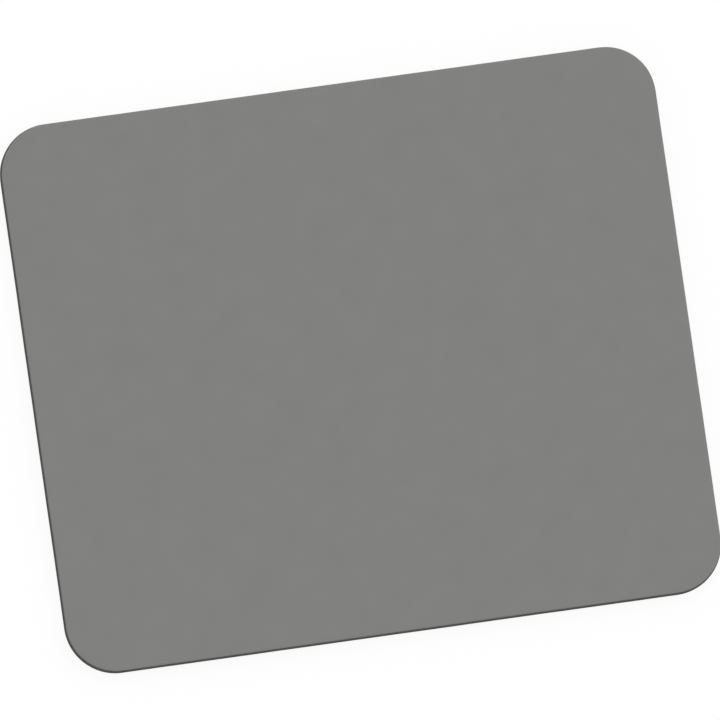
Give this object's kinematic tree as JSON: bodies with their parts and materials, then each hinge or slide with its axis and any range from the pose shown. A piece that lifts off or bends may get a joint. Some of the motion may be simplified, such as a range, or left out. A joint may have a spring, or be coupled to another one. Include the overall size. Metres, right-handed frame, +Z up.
{
  "type": "mouse pad",
  "caption": "Rectangular rounded-corner mouse pad: cloth face bonded by a film to a sponge-rubber base, with a slightly hollow flared cut edge.",
  "frame": {"origin": "middle of the underside, on the desk", "axes": "+X along the pad's width to the user's right, +Y along its depth away from the user, +Z up out of the cloth face"},
  "size_m": [0.24, 0.2006, 0.006],
  "materials": {
    "cloth": "matte",
    "film": "satin",
    "sponge_rubber": "matte"
  },
  "bodies": {
    "root": {"surface_cloth": "cloth", "bonding_film": "film", "rubber_base": "sponge_rubber"}
  },
  "joints": []
}
